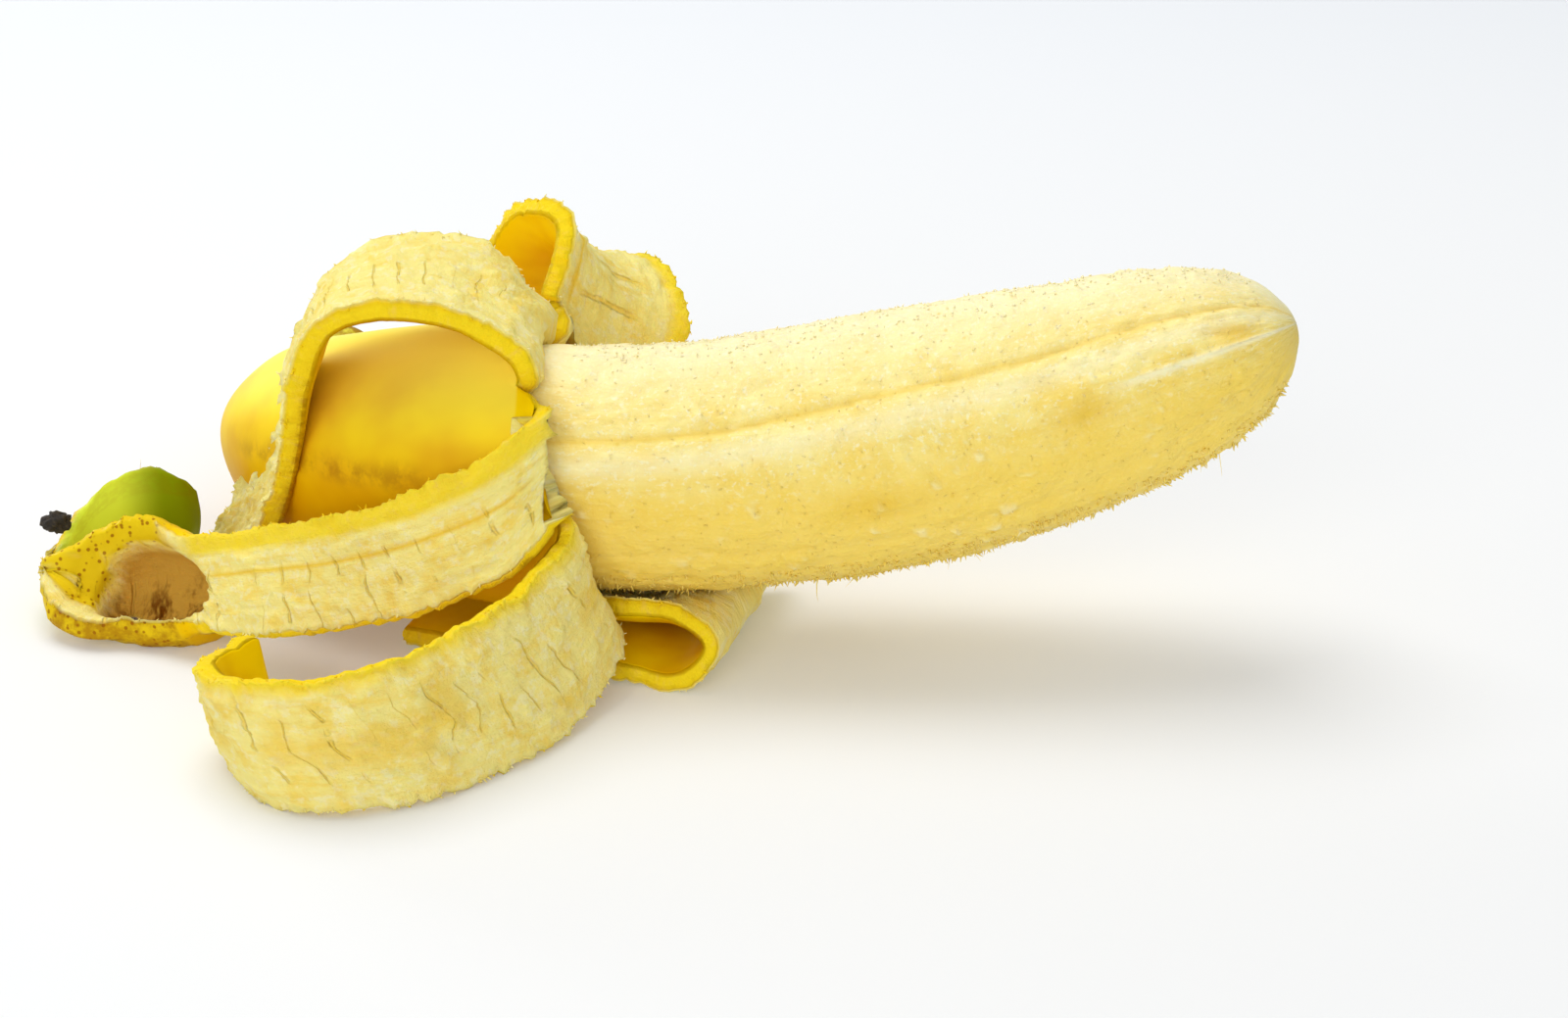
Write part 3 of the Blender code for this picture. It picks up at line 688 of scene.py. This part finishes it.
class Nodes:
    """Short hand for building a node material."""

    def __init__(self, name):
        self.material = bpy.data.materials.new(name)
        self.material.use_nodes = True
        self.tree = self.material.node_tree
        self.shader = self.tree.nodes["Principled BSDF"]

    def link(self, source, target):
        """Connect a socket, or set a plain value."""
        if isinstance(source, (int, float)):
            target.default_value = source
        elif isinstance(source, tuple):
            target.default_value = source if len(source) == len(target.default_value) else (*source, 1.0)
        else:
            self.tree.links.new(source, target)

    def fill(self, node, values):
        """Connect or set the named inputs of a node."""
        for name, value in values.items():
            self.link(value, node.inputs[name])
        return node

    def node(self, kind, values):
        """New node with its named inputs filled."""
        return self.fill(self.tree.nodes.new("ShaderNode" + kind), values)

    def surface(self, values):
        """Connect or set the named inputs of the shader."""
        self.fill(self.shader, values)

    def attribute(self, name, vector=False):
        """Point attribute as a number or a vector."""
        node = self.node("Attribute", {})
        node.attribute_name = name
        return node.outputs["Vector" if vector else "Fac"]

    def position(self):
        """Position in object space."""
        return self.node("TexCoord", {}).outputs["Object"]

    def scaled(self, vector, scale):
        """Vector times a scale per axis."""
        return self.node("Mapping", {"Scale": scale, "Vector": vector}).outputs["Vector"]

    def noise(self, vector, scale, detail=3.0, rough=0.55):
        """Noise from 0 to 1."""
        values = {"Vector": vector, "Scale": scale, "Detail": detail, "Roughness": rough}
        return self.node("TexNoise", values).outputs["Fac"]

    def cells(self, vector, scale):
        """Distance to the nearest cell point."""
        return self.node("TexVoronoi", {"Vector": vector, "Scale": scale}).outputs["Distance"]

    def math(self, kind, a, b=0.0):
        """Arithmetic of two numbers."""
        node = self.node("Math", {0: a, 1: b})
        node.operation = kind
        return node.outputs[0]

    def times(self, a, b):
        """Product of two numbers."""
        return self.math("MULTIPLY", a, b)

    def step(self, value, low, high, out_low=0.0, out_high=1.0):
        """Smooth step of a value between two limits."""
        node = self.node("MapRange", {"Value": value, "From Min": low, "From Max": high,
                                      "To Min": out_low, "To Max": out_high})
        node.interpolation_type = "SMOOTHSTEP"
        return node.outputs["Result"]

    def mix(self, factor, a, b):
        """Blend of two colours."""
        node = self.node("Mix", {})
        node.data_type = "RGBA"
        self.fill(node, {0: factor, 6: a, 7: b})
        return node.outputs[2]

    def tint(self, colour, other, amount, weight=None):
        """Colour moved towards another by an amount, which a weight may lessen."""
        if weight is not None:
            amount = self.times(amount, weight)
        return self.mix(amount, colour, other)

    def bump(self, height, distance, strength=1.0, normal=None):
        """Bump from a height, chained on an earlier normal."""
        node = self.node("Bump", {"Distance": distance, "Strength": strength, "Height": height})
        if normal is not None:
            self.link(normal, node.inputs["Normal"])
        return node.outputs["Normal"]


def tone(red, green, blue):
    """Linear colour from screen values 0 to 255."""
    values = (value / 255 for value in (red, green, blue))
    return tuple(v / 12.92 if v <= 0.04045 else ((v + 0.055) / 1.055) ** 2.4 for v in values)


FLESH_CREAM = tone(253, 232, 144)
FLESH_YELLOW = tone(246, 213, 90)
FLESH_PALE = tone(255, 248, 212)
FLESH_BROWN = tone(232, 192, 52)
SKIN_YELLOW = tone(252, 218, 4)
SKIN_DEEP = tone(226, 166, 0)
# Painted light: lighter yellow for the top of the base
SKIN_PAINTED_LIGHT = tone(255, 242, 96)
SKIN_OLIVE = tone(226, 196, 28)
SKIN_LIME = tone(216, 228, 60)
SKIN_GREEN = tone(132, 150, 8)
SKIN_BROWN = tone(150, 84, 14)
PITH_CREAM = tone(254, 236, 144)
PITH_YELLOW = tone(250, 214, 84)
PITH_ORANGE = tone(243, 204, 66)
PITH_BROWN = tone(122, 70, 12)
CORE_GOLD = tone(216, 170, 72)
TORN_YELLOW = tone(252, 220, 34)
NIB_BLACK = tone(34, 28, 22)
NIB_DUSTY = tone(74, 60, 40)
FRUIT_IOR = 1.42


def flesh_material():
    """Moist granular fruit flesh with a darker seam, faint fibres, pits and bruises, painted shade on its
    underside and along the seam groove, and painted light on its top.
    """
    n = Nodes("flesh_skinless")
    grain = n.attribute("grain", vector=True)
    fibre = n.noise(n.scaled(grain, (0.10, 1.0, 1.0)), 0.55, 4.0, 0.6)
    lump = n.noise(grain, 0.16, 4.0, 0.6)
    fine = n.noise(grain, 1.4, 3.0, 0.65)
    spots = n.step(n.cells(grain, 0.23), 0.10, 0.02)
    colour = n.tint(FLESH_CREAM, FLESH_YELLOW, n.step(lump, 0.36, 0.70), 0.75)
    colour = n.tint(colour, FLESH_YELLOW, n.step(fibre, 0.5, 0.72), 0.4)
    colour = n.tint(colour, FLESH_PALE, n.step(fine, 0.52, 0.70), 0.6)
    # Painted shade: darker yellow on the underside of the flesh and along its seam groove
    colour = n.tint(colour, FLESH_YELLOW, n.attribute("shade"))
    # Painted light: the top of the flesh is paler; a band beside the seam, the ridge near the tip and the
    # flecks are paler too
    colour = n.tint(colour, FLESH_PALE, n.attribute("pale"), 0.8)
    colour = n.tint(colour, FLESH_BROWN, spots, 0.5)
    colour = n.tint(colour, FLESH_BROWN, n.attribute("bruise"), 0.7)
    normal = n.bump(fibre, 0.0006, 0.5)
    normal = n.bump(n.noise(grain, 0.9, 4.0, 0.6), 0.0005, 0.6, normal)
    normal = n.bump(n.step(n.cells(grain, 0.8), 0.32, 0.05), -0.0003, 0.25, normal)
    n.surface({"Base Color": colour, "Normal": normal, "Roughness": n.step(fine, 0.3, 0.8, 0.36, 0.6),
               "IOR": FRUIT_IOR, "Specular IOR Level": 0.25, "Subsurface Weight": 0.3,
               "Subsurface Radius": (1.0, 0.80, 0.42), "Subsurface Scale": 0.0014})
    return n.material


def skin_colour(n, place):
    """Mottled yellow skin, greener at its ends, with brown smears, dots and rare specks, painted shade on the
    lower side of the base and painted light on its top.
    """
    colour = n.mix(n.step(n.noise(place, 55.0, 3.0, 0.5), 0.35, 0.7), SKIN_YELLOW, SKIN_DEEP)
    # Painted shade: the lower side of the base is turned deeper yellow
    colour = n.tint(colour, SKIN_DEEP, n.attribute("deep"), 0.8)
    # The first patch is painted light on the top of the base
    patches = (("fair", SKIN_PAINTED_LIGHT), ("lime", SKIN_LIME), ("green", SKIN_GREEN), ("olive", SKIN_OLIVE))
    for name, other in patches:
        colour = n.tint(colour, other, n.attribute(name))
    smear = n.times(n.attribute("brown"), n.step(n.noise(place, 260.0, 4.0, 0.7), 0.36, 0.62))
    dots = n.times(n.attribute("dots"), n.step(n.cells(place, 1000.0), 0.34, 0.18))
    specks = n.step(n.cells(place, 75.0), 0.03, 0.015)
    for amount, weight in ((smear, 0.5), (dots, 0.8), (specks, 0.75)):
        colour = n.tint(colour, SKIN_BROWN, amount, weight)
    return colour


def crack_pattern(n, grain):
    """Broken cracks across the pith from 0 to 1, each with its own width."""
    phase = n.attribute("phase")
    chance = n.node("TexWhiteNoise", {})
    chance.noise_dimensions = "1D"
    n.fill(chance, {"W": n.math("FLOOR", phase)})
    away = n.math("ABSOLUTE", n.math("SUBTRACT", n.math("FRACT", phase), 0.5))
    uneven = n.step(n.noise(grain, 0.5, 3.0), 0.3, 0.7, 0.4, 1.6)
    wide = n.times(n.step(chance.outputs["Value"], 0.2, 1.0), uneven)
    crack = n.math("DIVIDE", away, n.math("ADD", n.times(wide, 0.07), 0.006))
    broken = n.step(n.noise(n.scaled(grain, (0.3, 0.7, 1.0)), 0.32, 2.0), 0.44, 0.54)
    return n.times(n.step(crack, 1.0, 0.25), n.times(n.attribute("crack"), broken))


def pith_colour(n, grain, fibre, crack):
    """Cream pith with yellow fibres, pale flakes, thin places, cracks and the brown core of the cup."""
    lump = n.step(n.noise(grain, 0.28, 4.0, 0.65), 0.44, 0.70)
    flake = n.step(n.noise(grain, 0.9, 3.0, 0.6), 0.5, 0.66)
    core = n.attribute("core")
    streak = n.step(n.noise(n.scaled(grain, (0.8, 0.6, 1.0)), 0.34, 4.0, 0.7), 0.44, 0.6)
    colour = n.tint(PITH_CREAM, PITH_YELLOW, lump, 0.7)
    colour = n.tint(colour, PITH_YELLOW, n.step(fibre, 0.5, 0.72), 0.5)
    colour = n.tint(colour, FLESH_PALE, flake, 0.35)
    colour = n.tint(colour, PITH_ORANGE, n.attribute("thin"))
    colour = n.tint(colour, PITH_ORANGE, crack, 0.6)
    colour = n.tint(colour, CORE_GOLD, core)
    return n.tint(colour, PITH_BROWN, n.times(n.times(streak, core), n.attribute("dark")))


def peel_material():
    """Satin skin outside, fibrous pith inside and a torn yellow rim between them."""
    n = Nodes("peel_skin_and_pith")
    grain = n.attribute("grain", vector=True)
    place = n.position()
    pith = n.attribute("pith")
    rim = n.attribute("rim")
    fibre = n.noise(n.scaled(grain, (0.16, 1.0, 1.0)), 0.8, 4.0, 0.65)
    crack = crack_pattern(n, grain)
    torn = n.mix(n.step(n.noise(grain, 0.7, 3.0, 0.6), 0.52, 0.82), TORN_YELLOW, PITH_YELLOW)
    line = n.times(n.attribute("line"), n.step(n.noise(grain, 0.8, 3.0, 0.6), 0.36, 0.58))
    colour = n.mix(pith, skin_colour(n, place), pith_colour(n, grain, fibre, crack))
    colour = n.tint(n.mix(rim, colour, torn), SKIN_BROWN, line, 0.8)
    rough = n.times(n.math("ADD", fibre, n.noise(grain, 1.1, 5.0, 0.7)), n.math("MAXIMUM", pith, rim))
    normal = n.bump(n.noise(place, 90.0, 2.0, 0.5), 0.0006, 0.25)
    normal = n.bump(n.noise(place, 900.0, 2.0, 0.5), 0.00008, 0.35, normal)
    normal = n.bump(rough, 0.0007, 0.8, normal)
    normal = n.bump(crack, -0.0005, 0.8, normal)
    n.surface({"Base Color": colour, "Normal": normal, "Roughness": n.step(pith, 0.0, 1.0, 0.36, 0.64),
               "IOR": FRUIT_IOR, "Specular IOR Level": 0.02,
               "Subsurface Weight": n.step(pith, 0.0, 1.0, 0.06, 0.3),
               "Subsurface Radius": (1.0, 0.72, 0.3), "Subsurface Scale": 0.0016})
    return n.material


def nib_material():
    """Dry black blossom remnant."""
    n = Nodes("nib_dry")
    place = n.position()
    colour = n.mix(n.step(n.noise(place, 900.0, 4.0, 0.7), 0.4, 0.7), NIB_BLACK, NIB_DUSTY)
    normal = n.bump(n.noise(place, 1500.0, 4.0, 0.7), 0.0004, 0.9)
    n.surface({"Base Color": colour, "Normal": normal, "Roughness": 0.78})
    return n.material


def floor_material():
    """Smooth white tabletop, with painted shade that turns it bluer and darker towards the back, and a faint
    glow that lifts its shadows.
    """
    n = Nodes("white_tabletop")
    away = n.node("SeparateXYZ", {"Vector": n.position()}).outputs["Y"]
    n.surface({"Base Color": n.mix(n.step(away, 0.0, 0.75), FLOOR_WHITE, FLOOR_FAR_PAINTED_SHADE), "Roughness": 0.6,
               "Specular IOR Level": 0.1, "Emission Color": FLOOR_GLOW,
               "Emission Strength": FLOOR_GLOW_STRENGTH})
    return n.material


# ---- marks for the materials

def crack_marks(on, along, across, share):
    """Where cracks may run on each strip, and the count of cracks from its start."""
    allowed, phase = np.zeros(len(along)), np.zeros(len(along))
    bend = 1.3 * fractal(stacked(across * 0.8, along * 0.15, 7.0), 3.0, 81, 2)
    for name, spacing, lean, low, high in CRACKS:
        phase = np.where(on[name], (along + lean * across + bend) / spacing, phase)
        inside = rise(share, low, low + 0.25) * (1 - rise(share, high - 0.2, high))
        allowed = np.where(on[name], inside, allowed)
    return allowed, phase


def peel_marks(marks):
    """Numbers on the peel's points that the material reads."""
    strip, along, share, layer = (marks[name] for name in ("strip", "along", "share", "layer"))
    on = {name: strip == k for k, name in enumerate(STRIPS)}
    base, middle, rear = strip == -1, on["middle"], on["rear"]
    back = -along
    degrees = np.degrees(marks["angle"]) % 360
    across = np.where(strip >= 0, share * 8.0, np.radians(degrees) * 19.0)
    offset = np.where(strip >= 0, strip * 60.0, -200.0)
    where = stacked(along, across, offset)
    lump = fractal(where, 5.0, 71, 3)

    # Pith, and the torn rim with the yellow bands beside it
    pith = rise(layer, 0.8, 1.0)
    rim = ((strip >= 0) & (layer > 0.001) & (layer < 0.999)) * (1 - rise(layer, 0.72, 0.95))
    band = np.zeros(len(strip))
    for name, side, wide in TORN_BANDS:
        band = np.where(on[name], rise(side * share, 1 - wide - 0.1, 1 - wide + 0.12), band)
    rim = np.maximum(rim, band * rise(layer, 0.5, 0.9) * 0.9 * rise(along, 3.0, 9.0))

    # Thin places and seams of the pith, and its cracks
    thin = on["front"] * rise(lump + rise(along, 30, 60) * 0.5, 0.35, 0.75) * 0.55
    thin = np.maximum(thin, rear * rise(lump, 0.25, 0.7) * 0.4)
    seam = middle * bump(share + 0.16, 0.045) * (1 - rise(along, 58, 64))
    seam = np.maximum(seam, rear * bump(share - 0.72, 0.03))
    thin = np.maximum(thin, seam * rise(along, 8, 14)) * pith
    crack, phase = crack_marks(on, along, across, share)
    crack = crack * rise(layer, 0.85, 1.0) * rise(along, 6.0, 10.0)

    # Brown core and freckled skin of the tip cup, then the green tip lobe
    inside = cup_hollow(along, share) + 0.35 * fractal(where, 2.6, 77, 3)
    cup = rise(along, *CUP_REACH) * (1 - rise(along, *CURL_REACH))
    core = middle * rise(inside, 0.3, 0.6) * rise(layer, 0.4, 0.9) * cup
    freckled = middle * rise(along, CUP_REACH[0] + 4, CUP_REACH[1] + 4)
    leather = freckled * (1 - rise(inside, 0.08, 0.25)) * (1 - rise(share, 0.55, 0.8))
    lime = middle * rise(along, *CURL_REACH) * (1 - rise(layer, 0.3, 0.7))
    dots = freckled * (1 - lime)

    # Bruise line, freckled left end and dry stem end of the base, and the lower edge of the cup
    bruise = bump(degrees - 80 + 3 * lump, 5.0) * rise(back, 5, 12) * (1 - rise(back, 34, 44))
    worn = 0.8 * rise(back, 62, 72) * bump(degrees - 95, 30)
    brown = base * np.maximum(np.maximum(bruise, worn), 1.6 * rise(back, 91.5, 94.5))
    lower = middle & (along > CUP_REACH[1] + 2) & (along < CURL_REACH[0]) & (share > 0.6)
    brown = np.where(lower, 1.3 * rise(share, 0.6, 0.85), brown)

    # Dark line along the outer corner of a torn edge
    corner = bump(layer - 0.12, 0.1)
    line = np.maximum((on["arch"] & (share > 0.5)) * corner * rise(along, 34, 42),
                      (middle & (share < -0.5)) * corner * rise(along, 10, 20) * 0.6)
    return {"grain": stacked(along, across, offset + layer * 1.5),
            "pith": pith * (1 - leather),
            "rim": rim * (1 - middle * rise(along, *CUP_REACH)),
            "thin": thin, "crack": crack, "phase": phase, "core": core,
            "dark": rise(share, -0.45, 0.15),
            "dots": dots, "olive": 0.85 * dots, "brown": brown, "line": line,
            "lime": np.where(base, 0.45 * rise(back, 66, 94), lime),
            "green": middle * rise(along, *LOBE_REACH),
            # Painted shade on the lower side of the base, and painted light on its top
            "deep": (strip < 0) * rise(np.abs(degrees - 130), 80, 20),
            "fair": base * bump((degrees + 180) % 360 - 188, 40.0)}


def flesh_marks(marks):
    """Numbers on the flesh's points that the material reads."""
    along, angle = marks["along"], marks["angle"]
    degrees = np.degrees(angle)
    circle = stacked(along, np.cos(angle) * FLESH_RADIUS / MM, np.sin(angle) * FLESH_RADIUS / MM)
    groove = groove_angle(along)
    # Painted shade: the underside of the flesh and the seam groove are tinted darker yellow
    under = 0.8 * rise(degrees, 66, 100) * (1 - rise(degrees, 240, 300))
    shade = np.maximum(bump(degrees - groove, 2.2), under)
    # Painted light on the top of the flesh; a band beside the seam, the ridge near the tip and the flecks add
    # paler lines and spots
    pale = bump(degrees - groove - 12, 6.0) * 0.5 + 0.75 * bump((degrees + 180) % 360 - 180, 34.0)
    ridge = bump(degrees - RIDGE_ANGLE, 2.2) * rise(along, 72, 80)
    pale = np.maximum(pale, ridge)
    flecks = rise(fractal(circle, 1.5, 68, 2), 0.3, 0.6) * rise(fractal(circle, 6.0, 67, 2), -0.05, 0.35)
    pale = np.maximum(pale, 0.5 * flecks)
    shade = np.maximum(shade, 0.7 * bump(degrees - 80, 2.0) * rise(along, 40, 60))
    lump = fractal(circle, 6.0, 91, 2)
    bruise = bump(along - 70, 4.0) * bump(degrees - 78, 8.0) * rise(lump, -0.5, 0.3)
    bruise = bruise + bump(along - 42, 6.0) * bump(degrees - 98, 9.0) * rise(lump, -0.5, 0.3) * 0.8
    bruise = bruise + bump(along - 91, 2.5) * bump(degrees - 62, 7.0)
    return {"grain": circle, "shade": shade, "pale": pale, "bruise": bruise}


# ---- pieces

def fine_flesh(fruit):
    """Flesh with short fibres above and below and a few hanging threads."""
    *surface, marks = build_flesh(fruit)
    along, degrees = marks["along"], np.degrees(marks["angle"])
    bare = (along > 3) & (along < 95)
    above = (degrees < 12) | (degrees > 325)
    belly = (degrees > 130) & (degrees < 176)
    front = (degrees > 12) & (degrees < 130)
    return with_fuzz(*surface, marks, [(bare & above, *TOP_FIBRES), (bare & belly, *BELLY_FIBRES),
                                       (bare & front, *FRONT_FIBRES),
                                       (bare & belly & (along > 20), *HANGING_THREADS)])


def fine_peel(fruit):
    """Peel with fibres and threads on its torn edges."""
    *surface, marks = build_peel(fruit)
    torn = (marks["strip"] >= 0) & (np.abs(marks["share"]) > 0.93) & (marks["layer"] > 0.7)
    torn &= marks["along"] > 2
    return with_fuzz(*surface, marks, [(torn, *TORN_FIBRES), (torn, *TORN_THREADS)])


def add_nib(low, high):
    """Lumpy dry blossom remnant, placed and sized by its box."""
    middle = (np.array(low) + np.array(high)) / 2
    extent = np.array(high) - np.array(low)
    bpy.ops.mesh.primitive_ico_sphere_add(subdivisions=4, radius=0.5, location=(0, 0, 0))
    item = bpy.context.object
    item.name = "nib_dry"
    for vertex in item.data.vertices:
        place = np.array(vertex.co)
        wobble = 0.86 + 0.5 * float(fractal(stacked(*(place * 9))[None], 2.2, 95)[0])
        vertex.co = Vector(middle + place * extent * wobble * NIB_SHRINK)
    item.data.polygons.foreach_set("use_smooth", [True] * len(item.data.polygons))
    return item


# ---- studio

def add_floor():
    """White tabletop that fills the view."""
    bpy.ops.mesh.primitive_plane_add(size=FLOOR_SIZE, location=(0, 0, 0))
    item = bpy.context.object
    item.name = "tabletop"
    item.data.materials.append(floor_material())


def add_lamp(name, place, aim, size, power):
    """Soft square light aimed at a point."""
    light = bpy.data.lights.new(name, "AREA")
    light.shape = "SQUARE"
    light.size = size
    light.energy = power
    light.color = LAMP_COLOUR
    item = placed(name, light)
    item.location = place
    item.rotation_euler = (Vector(aim) - Vector(place)).to_track_quat("-Z", "Y").to_euler()


def add_room():
    """Even white surroundings."""
    world = bpy.data.worlds.new("studio")
    bpy.context.scene.world = world
    world.use_nodes = True
    background = world.node_tree.nodes["Background"]
    background.inputs["Color"].default_value = (*ROOM_COLOUR, 1.0)
    background.inputs["Strength"].default_value = ROOM_STRENGTH


def add_camera(location):
    """Camera looking along +Y and down by its pitch."""
    camera = bpy.data.cameras.new("camera")
    camera.lens = CAMERA_LENS
    camera.sensor_width = 36
    camera.clip_start = 0.01
    item = placed("camera", camera)
    item.location = location
    item.rotation_euler = (math.radians(90 - CAMERA_PITCH), 0, 0)
    bpy.context.scene.camera = item


# ---- the scene

fruit = Fruit()
flesh_points, *flesh_faces, flesh_raw = fine_flesh(fruit)
peel_points, *peel_faces, peel_raw = fine_peel(fruit)

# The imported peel's box tells where the middle of the ring lies
low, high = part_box("peel")
span = (peel_points.min(axis=0) + peel_points.max(axis=0)) / 2
ring = np.array([(low[0] + high[0]) / 2 - span[0], (low[1] + high[1]) / 2 - span[1],
                 FLOOR_BELOW_RING * fruit.across])
peel_points = peel_points + ring
peel_points[:, 2] = np.maximum(peel_points[:, 2], 0.0)
flesh_points = flesh_points + ring
peel = mesh_object("peel_skin_and_pith", peel_points, *peel_faces, peel_marks(peel_raw))
flesh = mesh_object("flesh_skinless", flesh_points, *flesh_faces, flesh_marks(flesh_raw))
low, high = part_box("blossom_nib")
nib = add_nib(low, high)
peel.data.materials.append(peel_material())
flesh.data.materials.append(flesh_material())
nib.data.materials.append(nib_material())

for piece, node in ((flesh, "flesh"), (peel, "peel"), (nib, "blossom_nib")):
    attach(piece, "root")
    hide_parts(node)

add_floor()
add_room()
for lamp in LAMPS:
    add_lamp(*lamp)
add_camera(tuple(ring + np.array(CAMERA_FROM_RING)))
bpy.context.scene.view_settings.view_transform = "Standard"
